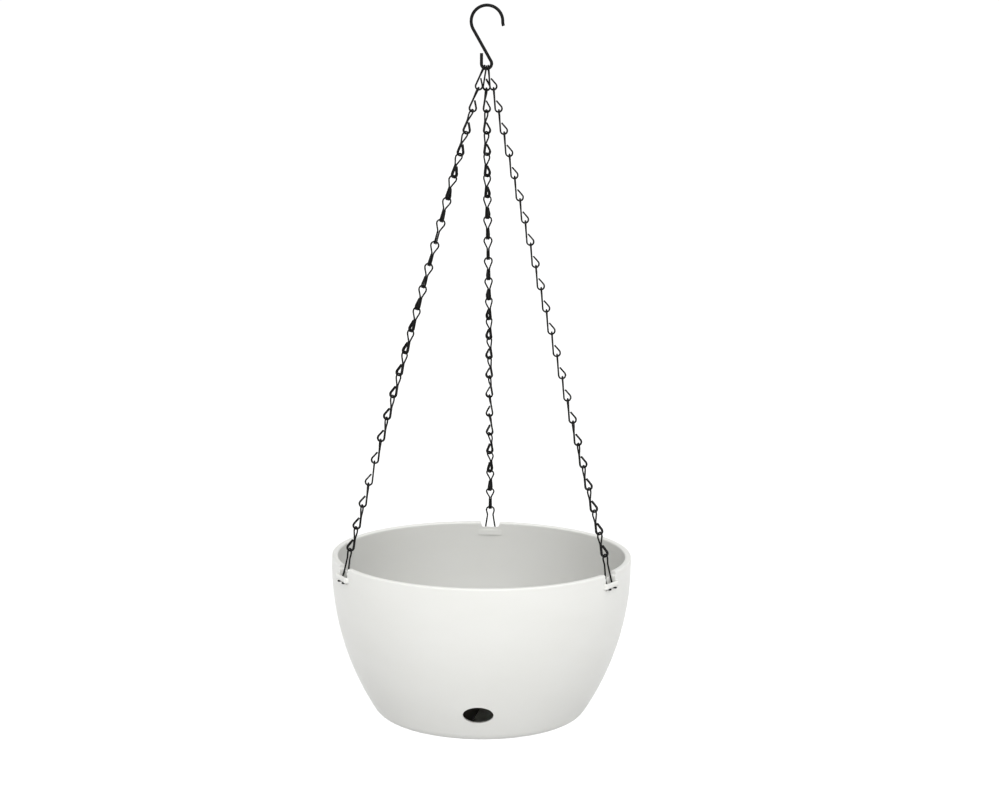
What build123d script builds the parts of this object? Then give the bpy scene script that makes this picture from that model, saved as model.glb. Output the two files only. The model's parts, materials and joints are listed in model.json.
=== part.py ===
from build123d import *
import math
import os

# Hanging basket: a round plastic bowl on three wire-link chains that meet on one S-hook.
# Units are millimetres and degrees. The origin is the crown inside the S-hook's upper bend, where
# a ceiling hook or bracket bears. +Z is up. The S-hook's bends lie in the XZ plane, the back ear
# of the pot is at +Y and its overflow hole is near -Y.

# Overall sizes
OVERALL_HEIGHT = 670.0
POT_HEIGHT = 155.0
POT_DIAMETER = 285.0

# S-hook
HOOK_WIRE = 3.0
HOOK_HEIGHT = 60.5
HOOK_UPPER_R = 14.5  # centreline radius of the bend that hangs on the ceiling hook
HOOK_LOWER_R = 4.7  # centreline radius of the bend that carries the chains
HOOK_TIP_R = 12.0  # the open end flares outwards on this radius
HOOK_TIP_TURN = 20.0
HOOK_TAIL = 9.5  # straight end past the lower bend

# Chain links, each one bent wire: a round upper loop, two folded legs and a lower hook
LINK_WIRE = 1.55
LINKS = 22
LINK_LOOP_R = 3.7  # centreline radius of the upper loop
LINK_HOOK_R = 3.15  # centreline radius of the lower hook
LINK_LEG_GAP = 1.65  # between the centrelines of the two folded legs
LINK_NECK = 11.0  # from the top of the loop to where the legs come together
LINK_NECK_R = 4.0
LINK_TAIL_RISE = 10.6  # height of the cut ends above the bottom of the lower hook
LINK_TAIL_GAP = 1.67  # between the centrelines of a cut end and its stem
LINK_SEAT = 1.9  # from a hook's bottom up to the top of the loop that hangs in it
TOP_SPACING = 2.3  # between the places on the S-hook where the three top links hang
RUNNING_GAP = 0.2  # slack between wires that bear on each other
SINGLE_LINKS = 14  # links below these share a node two by two

# Direction that each chain's loops face, in plan, at the link numbers given: a slow twist
LOOP_FACING = {
    "back": ((1, 90.0), (8.5, 180.0), (17, 270.0), (22, 360.0)),
    "left": ((1, 90.0), (7.5, 180.0), (18.5, 270.0), (22, 300.0)),
    "right": ((1, 90.0), (15, 90.0), (22, 60.0)),
}

# Spring clips that join the chains to the pot
CLIP_WIRE = 1.6
CLIP_LOOP_R = 3.9
CLIP_NECK_HALF = 2.75
CLIP_NECK_DROP = 8.8
CLIP_FOOT_HALF = 4.9
CLIP_KNEE_DROP = 23.0
CLIP_BEND_R = 4.0
CLIP_LENGTH = 29.5  # from the top of the loop to the axis of the ear bar
CLIP_SEAT = 1.95  # from the last hook's bottom up to the top of the clip's loop
CLIP_WRAP = 112.0  # how far each foot turns round the bar

# Pot
WALL = 3.0
FLOOR = 3.5
RIM_WIDTH = 6.0
RIM_TAPER = 70.0  # the wall thins from the rim's width to its own down to here
RIM_ROUND = 1.6
SIDE_START = 8.0  # the side is upright down to here, then curves in on one arc
SIDE_ARC_R = 262.0
BASE_CORNER_R = 16.0
FOOT_RING_R = 72.0
FOOT_RING_DEPTH = 1.2
OVERFLOW_WIDTH = 28.0
OVERFLOW_HEIGHT = 17.3  # as seen level from outside
OVERFLOW_RISE = 30.4  # centre of the overflow hole above the base
OVERFLOW_ANGLE = -87.3

# Ears of the pot, each a bar across a slot just below a dip in the rim
EAR_ANGLES = {"back": 90.0, "left": 210.0, "right": 330.0}
EAR_WIDTH = 24.0
EAR_BAR = 3.2  # radial thickness of the bar
EAR_BAR_HEIGHT = 5.0
EAR_DROP = 11.5  # axis of the bar's round lower edge, below the rim
EAR_PROUD = 1.6  # axis of the bar outside the pot's side
EAR_ROOT = 6.0  # how far the ear reaches in from the bar's axis
EAR_CORNER_R = 3.0
EAR_EDGE_R = 0.8
SLOT_WIDTH = 17.0
SLOT_DEPTH = 4.0  # how far the slot goes into the rim
SLOT_DROP = 15.0
DIP_WIDTH = 19.0
DIP_DEPTH = 5.0
DIP_CORNER_R = 3.0

# Insert that stands inside the pot and keeps the soil above the water
INSERT_RISE = 42.0  # top of the plate above the pot's base
INSERT_R = 114.0
INSERT_PLATE = 2.0
INSERT_LIP = 5.0
INSERT_SKIN = 2.0
INSERT_FEET = 4
INSERT_FOOT_PCR = 82.0
INSERT_FOOT_TOP = 26.0
INSERT_FOOT_BOTTOM = 6.0
INSERT_FOOT_TURN = -99.6  # direction of the first foot, beside the overflow hole
DRAIN_HOLE_R = 3.0
DRAIN_RINGS = ((28.0, 6, 0.0), (48.0, 12, 12.0), (100.0, 8, 12.9))  # radius, holes, first angle

# Heights and radii that follow from the sizes above
BASE_Z = HOOK_WIRE - OVERALL_HEIGHT
RIM_Z = BASE_Z + POT_HEIGHT
POT_R = POT_DIAMETER / 2
UPPER_BEND_Z = HOOK_WIRE / 2 - HOOK_UPPER_R
BEND_DISTANCE = HOOK_HEIGHT - HOOK_WIRE - HOOK_UPPER_R - HOOK_LOWER_R
LOWER_BEND_Z = UPPER_BEND_Z - BEND_DISTANCE
EAR_Z = RIM_Z - EAR_DROP
EAR_AXIS_R = POT_R + EAR_PROUD
SIDE_CENTRE_R = POT_R - SIDE_ARC_R
SLOT_INNER_R = POT_R - SLOT_DEPTH
SLOT_OUTER_R = EAR_AXIS_R + EAR_BAR

os.makedirs("parts", exist_ok=True)


def save(part, name):
    """Labels one finished piece and writes it as its own file."""
    part.label = name
    export_step(part, f"parts/{name}.step")


def polar(centre, radius, angle):
    """A point on a circle in a plane."""
    turn = math.radians(angle)
    return (centre[0] + radius * math.cos(turn), centre[1] + radius * math.sin(turn))


def tangent_angle(centre, radius, point, side):
    """Direction from a circle's centre to where a line from a point outside touches the circle."""
    away = math.dist(centre, point)
    towards = math.degrees(math.atan2(point[1] - centre[1], point[0] - centre[0]))
    return towards + side * math.degrees(math.acos(radius / away))


def wire_body(line, diameter):
    """A round wire along a line."""
    with BuildPart() as body:
        add(line)
        with BuildSketch(Plane(line @ 0, z_dir=line % 0)):
            Circle(diameter / 2)
        sweep()
    return body.part


def make_hook():
    """S-hook: a wide upper bend, a straight diagonal and a small closed lower bend."""
    lean = math.degrees(math.asin((HOOK_UPPER_R + HOOK_LOWER_R) / BEND_DISTANCE))
    upper = (0, UPPER_BEND_Z)
    lower = (0, LOWER_BEND_Z)
    flare = (HOOK_UPPER_R + HOOK_TIP_R, UPPER_BEND_Z)
    tip = polar(flare, HOOK_TIP_R, 180 + HOOK_TIP_TURN)
    tip_middle = polar(flare, HOOK_TIP_R, 180 + HOOK_TIP_TURN / 2)
    with BuildLine(Plane.XZ) as wire:
        ThreePointArc(tip, tip_middle, polar(upper, HOOK_UPPER_R, 0))
        ThreePointArc(
            polar(upper, HOOK_UPPER_R, 0),
            polar(upper, HOOK_UPPER_R, 90),
            polar(upper, HOOK_UPPER_R, 180 + lean),
        )
        Line(polar(upper, HOOK_UPPER_R, 180 + lean), polar(lower, HOOK_LOWER_R, lean))
        ThreePointArc(
            polar(lower, HOOK_LOWER_R, lean),
            polar(lower, HOOK_LOWER_R, -90),
            polar(lower, HOOK_LOWER_R, 180),
        )
        Line((-HOOK_LOWER_R, LOWER_BEND_Z), (-HOOK_LOWER_R, LOWER_BEND_Z + HOOK_TAIL))
    return wire_body(wire.line, HOOK_WIRE)


def chain_line(side):
    """Start, direction and length of one chain, from its top loop to the axis of the ear bar."""
    shift = {"back": 0.0, "left": -TOP_SPACING, "right": TOP_SPACING}[side]
    bend = Vector(shift, 0, LOWER_BEND_Z - math.sqrt(HOOK_LOWER_R**2 - shift**2))
    bar = Vector(*polar((0, 0), EAR_AXIS_R, EAR_ANGLES[side]), EAR_Z)
    along = (bar - bend).normalized()
    start = bend - along * (HOOK_WIRE / 2 + RUNNING_GAP + LINK_WIRE / 2)
    return start, along, (bar - start).length


def chain_pitch(side):
    """Distance from one link to the next, so that the links and the clip just fill the chain."""
    length = chain_line(side)[2]
    return (length - CLIP_LENGTH + CLIP_SEAT - LINK_SEAT) / LINKS


def loop_facing(side, number):
    """Direction in plan that a link's upper loop faces, between the chain's knots."""
    knots = LOOP_FACING[side]
    for (low, low_angle), (high, high_angle) in zip(knots, knots[1:]):
        if low <= number <= high:
            return low_angle + (high_angle - low_angle) * (number - low) / (high - low)


def chain_plane(side, distance, facing=None):
    """Plane across a chain: X along the loop there, Y along the lower hook, Z down the chain."""
    start, along, _ = chain_line(side)
    tangent_direction = EAR_ANGLES[side] + 90
    tangent = Vector(*polar((0, 0), 1, tangent_direction), 0)
    twist = 0 if facing is None else tangent_direction - facing
    across = tangent.rotate(Axis((0, 0, 0), along), twist)
    return Plane(origin=start + along * distance, x_dir=across, z_dir=along)


def make_link(plane, reach):
    """One chain link. Its loop hangs at the plane's origin and its hook's bottom is reach below."""
    half = LINK_LEG_GAP / 2
    hook = (0, reach - LINK_HOOK_R)
    left = tangent_angle(hook, LINK_HOOK_R, (0, 0), -1)
    stem_end = polar(hook, LINK_HOOK_R, left)
    stem_length = math.hypot(*stem_end)
    lean = (stem_end[0] / stem_length, stem_end[1] / stem_length)
    tail_depth = reach - LINK_TAIL_RISE
    tail = ((lean[0] * tail_depth + LINK_TAIL_GAP) / lean[1], tail_depth)
    right = tangent_angle(hook, LINK_HOOK_R, tail, 1)
    loop = (0, LINK_LOOP_R)
    touch = polar(loop, LINK_LOOP_R, tangent_angle(loop, LINK_LOOP_R, (half, LINK_NECK), -1))

    def in_hook(point, sign):
        return (sign * half, *point)

    def in_loop(point, sign):
        return (sign * point[0], lean[0] * point[1], lean[1] * point[1])

    with BuildLine(plane) as wire:
        for sign in (1, -1):
            Line(in_hook(tail, sign), in_hook(polar(hook, LINK_HOOK_R, right), sign))
            ThreePointArc(
                in_hook(polar(hook, LINK_HOOK_R, right), sign),
                in_hook(polar(hook, LINK_HOOK_R, 90), sign),
                in_hook(polar(hook, LINK_HOOK_R, left), sign),
            )
            FilletPolyline(
                in_loop((half, stem_length), sign),
                in_loop((half, LINK_NECK), sign),
                in_loop(touch, sign),
                radius=LINK_NECK_R,
            )
        ThreePointArc(in_loop(touch, 1), (0, 0, 0), in_loop(touch, -1))
    return wire_body(wire.wires()[0], LINK_WIRE)


def make_clip(plane):
    """Spring clip: a round top loop, a neck, and two legs whose feet turn under the ear bar."""
    foot_r = EAR_BAR / 2 + CLIP_WIRE / 2 + RUNNING_GAP
    bar = (0, CLIP_LENGTH)
    lean = -foot_r / CLIP_KNEE_DROP
    loop = (0, CLIP_LOOP_R)
    neck = (CLIP_NECK_HALF, CLIP_NECK_DROP)
    touch = polar(loop, CLIP_LOOP_R, tangent_angle(loop, CLIP_LOOP_R, neck, -1))

    def in_leg(point, sign):
        return (sign * point[0], lean * point[1], point[1])

    def in_foot(angle, sign):
        return (sign * CLIP_FOOT_HALF, *polar(bar, foot_r, 180 - angle))

    with BuildLine(plane) as wire:
        for sign in (1, -1):
            ThreePointArc(in_foot(CLIP_WRAP, sign), in_foot(CLIP_WRAP / 2, sign), in_foot(0, sign))
            FilletPolyline(
                in_foot(0, sign),
                in_leg((CLIP_FOOT_HALF, CLIP_KNEE_DROP), sign),
                in_leg(neck, sign),
                in_leg(touch, sign),
                radius=(CLIP_BEND_R, CLIP_BEND_R),
            )
        ThreePointArc(in_leg(touch, 1), (0, 0, 0), in_leg(touch, -1))
    return wire_body(wire.wires()[0], CLIP_WIRE)


def side_radius(offset, depth):
    """Radius of the pot's side, moved in by an offset, at a depth below the rim."""
    return SIDE_CENTRE_R + math.sqrt((SIDE_ARC_R - offset) ** 2 - (depth - SIDE_START) ** 2)


def side_arc(offset, start_depth, end_depth):
    """The curved side between two depths below the rim."""
    depths = (start_depth, (start_depth + end_depth) / 2, end_depth)
    ThreePointArc(*((side_radius(offset, depth), RIM_Z - depth) for depth in depths))


def ear_plane(angle):
    """Level plane at the height of an ear's axis, X outwards through the ear."""
    return Plane(origin=(0, 0, EAR_Z), x_dir=(*polar((0, 0), 1, angle), 0), z_dir=(0, 0, 1))


def outward_plane(angle, height):
    """Upright plane through the pot's axis at a height, facing outwards."""
    outward = (*polar((0, 0), 1, angle), 0)
    return Plane(origin=(0, 0, height), x_dir=(*polar((0, 0), 1, angle + 90), 0), z_dir=outward)


def is_ear_outline(edge):
    """Whether an edge is one of the level outlines of an ear, outside the pot's side."""
    middle = edge.center()
    level = edge.bounding_box().size.Z < EAR_EDGE_R / 2
    return level and math.hypot(middle.X, middle.Y) > POT_R + EAR_PROUD / 2


def make_pot():
    """Bowl with a thick round rim, an oval overflow hole, a foot ring and three ears."""
    floor_depth = POT_HEIGHT - FLOOR
    rim_inner = POT_R - RIM_WIDTH
    taper_r = side_radius(WALL, RIM_TAPER)
    with BuildPart() as pot:
        with BuildSketch(Plane.XZ) as outside:
            with BuildLine():
                Polyline((side_radius(0, POT_HEIGHT), BASE_Z), (0, BASE_Z), (0, RIM_Z), (POT_R, RIM_Z))
                Line((POT_R, RIM_Z), (POT_R, RIM_Z - SIDE_START))
                side_arc(0, SIDE_START, POT_HEIGHT)
            make_face()
            fillet(outside.vertices().group_by(Axis.X)[-1].group_by(Axis.Y)[-1], RIM_ROUND)
            fillet(outside.vertices().group_by(Axis.Y)[0].sort_by(Axis.X)[-1], BASE_CORNER_R)
        revolve(axis=Axis.Z)
        with BuildSketch(Plane.XZ) as inside:
            with BuildLine():
                Polyline(
                    (side_radius(WALL, floor_depth), RIM_Z - floor_depth),
                    (0, RIM_Z - floor_depth),
                    (0, RIM_Z),
                    (rim_inner, RIM_Z),
                )
                TangentArc(
                    (taper_r, RIM_Z - RIM_TAPER),
                    (rim_inner, RIM_Z),
                    tangent=(RIM_TAPER - SIDE_START, taper_r - SIDE_CENTRE_R),
                )
                side_arc(WALL, RIM_TAPER, floor_depth)
            make_face()
            fillet(inside.vertices().group_by(Axis.Y)[0].sort_by(Axis.X)[-1], BASE_CORNER_R - WALL)
        revolve(axis=Axis.Z, mode=Mode.SUBTRACT)
        rim_circles = pot.edges().filter_by(GeomType.CIRCLE).group_by(Axis.Z)[-1]
        fillet(rim_circles.sort_by(SortBy.RADIUS)[0], RIM_ROUND)
        with BuildSketch(Plane.XY.offset(BASE_Z)):
            Circle(FOOT_RING_R)
        extrude(amount=FOOT_RING_DEPTH, taper=45, mode=Mode.SUBTRACT)
        with BuildSketch(outward_plane(OVERFLOW_ANGLE, BASE_Z + OVERFLOW_RISE)):
            Ellipse(OVERFLOW_WIDTH / 2, OVERFLOW_HEIGHT / 2)
        extrude(amount=POT_R, mode=Mode.SUBTRACT)
        for angle in EAR_ANGLES.values():
            with BuildSketch(ear_plane(angle).offset(-EAR_BAR / 2)) as ear:
                with Locations((EAR_AXIS_R - EAR_ROOT / 2, 0)):
                    Rectangle(EAR_ROOT + EAR_BAR, EAR_WIDTH)
                fillet(ear.vertices().group_by(Axis.X)[-1], EAR_CORNER_R)
            extrude(amount=EAR_BAR_HEIGHT)
        fillet(pot.edges().filter_by(is_ear_outline), EAR_EDGE_R)
        for angle in EAR_ANGLES.values():
            with BuildSketch(ear_plane(angle).offset(EAR_DROP - SLOT_DROP)):
                with Locations(((SLOT_INNER_R + SLOT_OUTER_R) / 2, 0)):
                    Rectangle(SLOT_OUTER_R - SLOT_INNER_R, SLOT_WIDTH)
            extrude(amount=SLOT_DROP, mode=Mode.SUBTRACT)
            with BuildSketch(outward_plane(angle, RIM_Z).offset(POT_R - 2 * RIM_WIDTH)):
                RectangleRounded(DIP_WIDTH, 2 * DIP_DEPTH, DIP_CORNER_R)
            extrude(amount=3 * RIM_WIDTH, mode=Mode.SUBTRACT)
            along = Plane(origin=(0, 0, EAR_Z), x_dir=ear_plane(angle).x_dir, z_dir=-ear_plane(angle).y_dir)
            with BuildSketch(along):
                with Locations((EAR_AXIS_R, (EAR_BAR_HEIGHT - EAR_BAR) / 2)):
                    SlotOverall(EAR_BAR_HEIGHT, EAR_BAR, rotation=90)
            extrude(amount=SLOT_WIDTH / 2 + EAR_BAR / 2, both=True)
    return pot.part


def make_insert():
    """Round perforated plate with a lip, on hollow tapered feet that reach the pot's floor."""
    plate_top = BASE_Z + INSERT_RISE
    plate_bottom = plate_top - INSERT_PLATE
    foot_drop = plate_bottom - (BASE_Z + FLOOR + RUNNING_GAP)
    taper = math.degrees(math.atan((INSERT_FOOT_TOP - INSERT_FOOT_BOTTOM) / foot_drop))
    feet = PolarLocations(INSERT_FOOT_PCR, INSERT_FEET, start_angle=INSERT_FOOT_TURN)
    with BuildPart() as insert:
        with BuildSketch(Plane.XY.offset(plate_bottom)):
            Circle(INSERT_R)
        extrude(amount=INSERT_PLATE)
        with BuildSketch(Plane.XY.offset(plate_top)):
            Circle(INSERT_R)
            Circle(INSERT_R - INSERT_SKIN, mode=Mode.SUBTRACT)
        extrude(amount=INSERT_LIP)
        with BuildSketch(Plane.XY.offset(plate_bottom)):
            with feet:
                Circle(INSERT_FOOT_TOP)
        extrude(amount=-foot_drop, taper=taper)
        with BuildSketch(Plane.XY.offset(plate_top)):
            with feet:
                Circle(INSERT_FOOT_TOP - INSERT_SKIN)
        extrude(amount=-foot_drop, taper=taper, mode=Mode.SUBTRACT)
        with BuildSketch(Plane.XY.offset(plate_bottom)):
            for radius, count, first in DRAIN_RINGS:
                with PolarLocations(radius, count, start_angle=first):
                    Circle(DRAIN_HOLE_R)
        extrude(amount=INSERT_PLATE, mode=Mode.SUBTRACT)
    return insert.part


save(make_hook(), "s_hook")
save(make_pot(), "pot")
save(make_insert(), "water_insert")
link_reach = chain_pitch("back") + LINK_SEAT
for side in EAR_ANGLES:
    pitch = chain_pitch(side)
    links = [
        make_link(chain_plane(side, pitch * index, loop_facing(side, index + 1)), link_reach)
        for index in range(LINKS)
    ]
    for index in range(SINGLE_LINKS):
        save(links[index], f"{side}_link_{index + 1:02d}")
    for index in range(SINGLE_LINKS, LINKS, 2):
        save(Compound(children=links[index : index + 2]), f"{side}_links_{index + 1:02d}_{index + 2:02d}")
    clip_start = pitch * LINKS + LINK_SEAT - CLIP_SEAT
    save(make_clip(chain_plane(side, clip_start)), f"{side}_clip")
    print(side, "chain pitch", round(pitch, 3), "link reach", round(link_reach, 3))
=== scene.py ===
import json
import math

import bpy
from mathutils import Matrix, Vector


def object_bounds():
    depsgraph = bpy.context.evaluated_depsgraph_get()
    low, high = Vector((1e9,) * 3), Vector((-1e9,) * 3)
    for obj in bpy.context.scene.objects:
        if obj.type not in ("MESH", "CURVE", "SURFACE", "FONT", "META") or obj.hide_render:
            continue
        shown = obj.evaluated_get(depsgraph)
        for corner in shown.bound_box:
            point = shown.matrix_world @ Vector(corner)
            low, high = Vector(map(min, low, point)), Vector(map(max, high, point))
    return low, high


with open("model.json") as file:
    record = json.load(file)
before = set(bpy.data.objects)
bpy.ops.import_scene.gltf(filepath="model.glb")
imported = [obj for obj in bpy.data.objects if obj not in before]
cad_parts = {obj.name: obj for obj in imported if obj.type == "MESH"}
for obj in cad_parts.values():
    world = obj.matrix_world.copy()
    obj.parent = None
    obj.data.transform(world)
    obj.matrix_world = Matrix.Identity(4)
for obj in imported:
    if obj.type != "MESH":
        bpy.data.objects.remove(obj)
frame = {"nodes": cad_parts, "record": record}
CAD_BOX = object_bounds()

# Camera: metres and degrees, azimuth and sidestep to the right of the pot's front
CAMERA_DISTANCE = 1.902
CAMERA_ELEVATION = 8.86
CAMERA_AZIMUTH = 3.06
CAMERA_ROLL = 0.65
CAMERA_AIM_DROP = 0.3643
CAMERA_SIDESTEP = 0.0159
LENS = 72.56
SENSOR = 36.0

# Studio: a paper floor far below the pot, and surroundings white up to a little above the horizon
FLOOR_GAP = 1.2
FLOOR_SIZE = 120.0
# Painted shadow on the floor: grey within this distance of the pot's axis, fading to white beyond
PAINTED_SHADOW_WITHIN = 1.5
FLOOR_WHITE_BEYOND = 3.0
HORIZON_TOP = 0.06
SKY_FROM = 0.20
WORLD_DIM = 0.30
WORLD_HORIZON = 1.04
KEY_AZIMUTH = 8.0
KEY_ELEVATION = 36.0
KEY_STRENGTH = 2.05
KEY_SPREAD = 80.0
TOP_AZIMUTH = 180.0
TOP_ELEVATION = 84.0
TOP_STRENGTH = 1.6
TOP_SPREAD = 120.0

# Materials: linear colours, noise in cycles per metre, bump depths and light travel in metres
WHITE_PLASTIC = (0.715, 0.716, 0.690)
WHITE_PLASTIC_CLOUD = (0.690, 0.691, 0.662)
WHITE_ROUGHNESS = (0.33, 0.42)
WHITE_IOR = 1.49
WHITE_GLOW = 0.08
WHITE_GLOW_REACH = (0.004, 0.004, 0.0035)
FLOW_CLOUDS = 9.0
FLOW_STRETCH = (1, 1, 2.2)
FLOW_DEPTH = 0.0004
MOULD_SPECKS = 900.0
MOULD_DEPTH = 0.00004

WIRE_COATING = (0.004, 0.004, 0.004)
WIRE_RUBBED = (0.013, 0.012, 0.011)
WIRE_ROUGHNESS = (0.28, 0.46)
WIRE_SPECULAR = 0.12
WIRE_PATCHES = 260.0
WIRE_RUB_RANGE = (0.58, 0.72)
WIRE_PATCH_DEPTH = 0.00008
WIRE_GRAIN = 1800.0
WIRE_GRAIN_DEPTH = 0.00002

BLACK_PLASTIC = (0.012, 0.011, 0.009)
BLACK_PLASTIC_CLOUD = (0.027, 0.023, 0.018)
BLACK_ROUGHNESS = (0.45, 0.6)
BLACK_CLOUDS = 40.0
BLACK_GRAIN = 1400.0
BLACK_GRAIN_DEPTH = 0.00005

PAPER = (0.96, 0.96, 0.96)
PAPER_FIBRE = (0.945, 0.945, 0.945)
# Painted shadow: the floor colour near the pot, standing in for the shade under it
PAINTED_SHADOW_UNDER_OBJECT = (0.42, 0.42, 0.42)
PAPER_FIBRES = 30.0
PAPER_ROUGHNESS = 0.9
PAPER_SPECULAR = 0.1

SHARP_ANGLE = 35.0


def nodes_of(material):
    """An empty node tree with an output and a principled shader, ready to wire."""
    material.use_nodes = True
    tree = material.node_tree
    tree.nodes.clear()
    out = tree.nodes.new("ShaderNodeOutputMaterial")
    shader = tree.nodes.new("ShaderNodeBsdfPrincipled")
    tree.links.new(shader.outputs["BSDF"], out.inputs["Surface"])
    return tree, shader


def noise(tree, scale, detail=3.0, roughness=0.55, stretch=(1, 1, 1)):
    """Noise over the object's own coordinates, in cycles per metre."""
    place = tree.nodes.new("ShaderNodeTexCoord")
    mapping = tree.nodes.new("ShaderNodeMapping")
    mapping.inputs["Scale"].default_value = stretch
    texture = tree.nodes.new("ShaderNodeTexNoise")
    texture.inputs["Scale"].default_value = scale
    texture.inputs["Detail"].default_value = detail
    texture.inputs["Roughness"].default_value = roughness
    tree.links.new(place.outputs["Object"], mapping.inputs["Vector"])
    tree.links.new(mapping.outputs["Vector"], texture.inputs["Vector"])
    return texture.outputs["Fac"]


def spread(tree, value, low, high, start=0.3, end=0.7):
    """Maps a value onto a range."""
    node = tree.nodes.new("ShaderNodeMapRange")
    node.inputs["From Min"].default_value = start
    node.inputs["From Max"].default_value = end
    node.inputs["To Min"].default_value = low
    node.inputs["To Max"].default_value = high
    tree.links.new(value, node.inputs["Value"])
    return node.outputs["Result"]


def mix_colour(tree, factor, first, second):
    """Blends two colours, each a tuple or a socket."""
    node = tree.nodes.new("ShaderNodeMix")
    node.data_type = "RGBA"
    tree.links.new(factor, node.inputs["Factor"])
    for name, colour in (("A", first), ("B", second)):
        socket = [s for s in node.inputs if s.name == name and s.type == "RGBA"][0]
        if isinstance(colour, tuple):
            socket.default_value = (*colour, 1)
        else:
            tree.links.new(colour, socket)
    return [s for s in node.outputs if s.type == "RGBA"][0]


def bump(tree, shader, *layers):
    """Stacks bumps, each (height socket, distance in metres, strength)."""
    normal = None
    for height, distance, strength in layers:
        node = tree.nodes.new("ShaderNodeBump")
        node.inputs["Distance"].default_value = distance
        node.inputs["Strength"].default_value = strength
        tree.links.new(height, node.inputs["Height"])
        if normal is not None:
            tree.links.new(normal, node.inputs["Normal"])
        normal = node.outputs["Normal"]
    tree.links.new(normal, shader.inputs["Normal"])


def white_plastic():
    """Satin injection-moulded polypropylene: warm white, faint flow clouds, fine moulded texture."""
    material = bpy.data.materials.new("white_plastic")
    tree, shader = nodes_of(material)
    clouds = noise(tree, FLOW_CLOUDS, 4.0, 0.5, FLOW_STRETCH)
    specks = noise(tree, MOULD_SPECKS, 2.0)
    body = mix_colour(tree, spread(tree, clouds, 0, 1), WHITE_PLASTIC, WHITE_PLASTIC_CLOUD)
    tree.links.new(body, shader.inputs["Base Color"])
    tree.links.new(spread(tree, clouds, *WHITE_ROUGHNESS), shader.inputs["Roughness"])
    shader.inputs["IOR"].default_value = WHITE_IOR
    shader.inputs["Subsurface Weight"].default_value = WHITE_GLOW
    shader.inputs["Subsurface Radius"].default_value = WHITE_GLOW_REACH
    shader.inputs["Subsurface Scale"].default_value = 1.0
    bump(tree, shader, (clouds, FLOW_DEPTH, 0.25), (specks, MOULD_DEPTH, 0.35))
    return material


def black_wire():
    """Steel wire with a thin black coating: semi-gloss, slightly uneven, greyer where it rubs."""
    material = bpy.data.materials.new("black_wire")
    tree, shader = nodes_of(material)
    patches = noise(tree, WIRE_PATCHES, 4.0)
    grain = noise(tree, WIRE_GRAIN, 2.0)
    rubbed = spread(tree, patches, 0, 1, *WIRE_RUB_RANGE)
    body = mix_colour(tree, rubbed, WIRE_COATING, WIRE_RUBBED)
    tree.links.new(body, shader.inputs["Base Color"])
    tree.links.new(spread(tree, patches, *WIRE_ROUGHNESS), shader.inputs["Roughness"])
    shader.inputs["Specular IOR Level"].default_value = WIRE_SPECULAR
    bump(tree, shader, (patches, WIRE_PATCH_DEPTH, 0.3), (grain, WIRE_GRAIN_DEPTH, 0.3))
    return material


def black_plastic():
    """Matt black polypropylene of the insert, with a fine moulded grain."""
    material = bpy.data.materials.new("black_plastic")
    tree, shader = nodes_of(material)
    clouds = noise(tree, BLACK_CLOUDS, 4.0)
    grain = noise(tree, BLACK_GRAIN, 2.0)
    body = mix_colour(tree, spread(tree, clouds, 0, 1), BLACK_PLASTIC, BLACK_PLASTIC_CLOUD)
    tree.links.new(body, shader.inputs["Base Color"])
    tree.links.new(spread(tree, clouds, *BLACK_ROUGHNESS), shader.inputs["Roughness"])
    bump(tree, shader, (grain, BLACK_GRAIN_DEPTH, 0.5))
    return material


def studio_white():
    """Seamless pale paper with a painted shadow, a little greyer under the object."""
    material = bpy.data.materials.new("studio_white")
    tree, shader = nodes_of(material)
    fibres = noise(tree, PAPER_FIBRES, 5.0)
    place = tree.nodes.new("ShaderNodeTexCoord")
    flatten = tree.nodes.new("ShaderNodeMapping")
    flatten.inputs["Scale"].default_value = (1, 1, 0)
    tree.links.new(place.outputs["Object"], flatten.inputs["Vector"])
    reach = tree.nodes.new("ShaderNodeVectorMath")
    reach.operation = "LENGTH"
    tree.links.new(flatten.outputs["Vector"], reach.inputs[0])
    # Painted shadow: the paper is painted grey near the pot's axis and fades to the plain paper
    # further out
    painted_shadow_fade = spread(tree, reach.outputs["Value"], 0, 1, PAINTED_SHADOW_WITHIN, FLOOR_WHITE_BEYOND)
    paper = mix_colour(tree, spread(tree, fibres, 0, 1), PAPER, PAPER_FIBRE)
    body = mix_colour(tree, painted_shadow_fade, PAINTED_SHADOW_UNDER_OBJECT, paper)
    tree.links.new(body, shader.inputs["Base Color"])
    shader.inputs["Roughness"].default_value = PAPER_ROUGHNESS
    shader.inputs["Specular IOR Level"].default_value = PAPER_SPECULAR
    return material


def dress_cad_nodes():
    """Gives every CAD node the material of its slot and smooth shading."""
    makers = (white_plastic, black_wire, black_plastic)
    materials = {maker.__name__: maker() for maker in makers}
    slots = {piece["node"]: piece["material_slot"] for piece in frame["record"]["subparts"]}
    for name, node in frame["nodes"].items():
        node.data.materials.clear()
        node.data.materials.append(materials[slots[name]])
        node.data.set_sharp_from_angle(angle=math.radians(SHARP_ANGLE))


def make_stage():
    """A pale floor well below the hanging pot."""
    half = FLOOR_SIZE / 2
    mesh = bpy.data.meshes.new("floor")
    z = CAD_BOX[0][2] - FLOOR_GAP
    corners = [(-half, -half, z), (half, -half, z), (half, half, z), (-half, half, z)]
    mesh.from_pydata(corners, [], [(0, 1, 2, 3)])
    floor = bpy.data.objects.new("floor", mesh)
    bpy.context.scene.collection.objects.link(floor)
    mesh.materials.append(studio_white())


def direction(azimuth, elevation):
    """Unit vector towards a place round the object, both in degrees. Azimuth 0 is its front."""
    turn = math.radians(azimuth)
    rise = math.radians(elevation)
    flat = math.cos(rise)
    return Vector((math.sin(turn) * flat, -math.cos(turn) * flat, math.sin(rise)))


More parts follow.
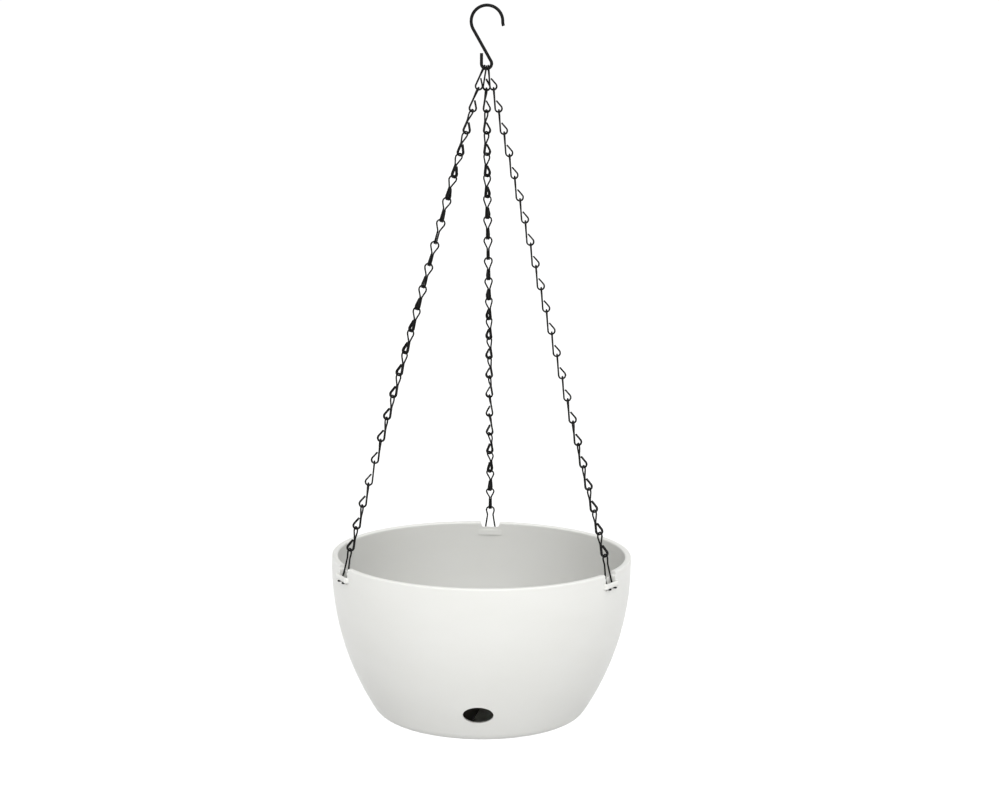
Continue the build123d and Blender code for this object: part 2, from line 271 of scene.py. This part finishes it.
def add_sun(name, azimuth, elevation, strength, spread_angle):
    """A very soft distant light, as from a wall of softboxes."""
    light = bpy.data.lights.new(name, "SUN")
    light.energy = strength
    light.angle = math.radians(spread_angle)
    lamp = bpy.data.objects.new(name, light)
    lamp.rotation_euler = direction(azimuth, elevation).to_track_quat("Z", "Y").to_euler()
    bpy.context.scene.collection.objects.link(lamp)


def make_light():
    """Soft studio: surroundings white at the horizon and dimmer above, and two soft lights."""
    world = bpy.data.worlds.new("studio")
    world.use_nodes = True
    tree = world.node_tree
    background = tree.nodes["Background"]
    place = tree.nodes.new("ShaderNodeTexCoord")
    axes = tree.nodes.new("ShaderNodeSeparateXYZ")
    tree.links.new(place.outputs["Generated"], axes.inputs["Vector"])
    brightness = tree.nodes.new("ShaderNodeMapRange")
    brightness.interpolation_type = "SMOOTHSTEP"
    brightness.inputs["From Min"].default_value = HORIZON_TOP
    brightness.inputs["From Max"].default_value = SKY_FROM
    brightness.inputs["To Min"].default_value = WORLD_HORIZON
    brightness.inputs["To Max"].default_value = WORLD_DIM
    tree.links.new(axes.outputs["Z"], brightness.inputs["Value"])
    tree.links.new(brightness.outputs["Result"], background.inputs["Strength"])
    background.inputs["Color"].default_value = (1, 1, 1, 1)
    bpy.context.scene.world = world
    bpy.context.scene.view_settings.view_transform = "Standard"
    add_sun("key", KEY_AZIMUTH, KEY_ELEVATION, KEY_STRENGTH, KEY_SPREAD)
    add_sun("top", TOP_AZIMUTH, TOP_ELEVATION, TOP_STRENGTH, TOP_SPREAD)


def make_camera():
    """Camera in front and above, a little to one side and rolled slightly."""
    azimuth = math.radians(CAMERA_AZIMUTH)
    back = direction(CAMERA_AZIMUTH, CAMERA_ELEVATION)
    right = Vector((math.cos(azimuth), math.sin(azimuth), 0))
    up = back.cross(right)
    data = bpy.data.cameras.new("camera")
    data.lens = LENS
    data.sensor_width = SENSOR
    camera = bpy.data.objects.new("camera", data)
    place = Vector((0, 0, -CAMERA_AIM_DROP)) + right * CAMERA_SIDESTEP + back * CAMERA_DISTANCE
    turn = Matrix((right, up, back)).transposed().to_4x4()
    roll = Matrix.Rotation(math.radians(CAMERA_ROLL), 4, "Z")
    camera.matrix_world = Matrix.Translation(place) @ turn @ roll
    bpy.context.scene.collection.objects.link(camera)
    bpy.context.scene.camera = camera


make_camera()
dress_cad_nodes()
make_stage()
make_light()
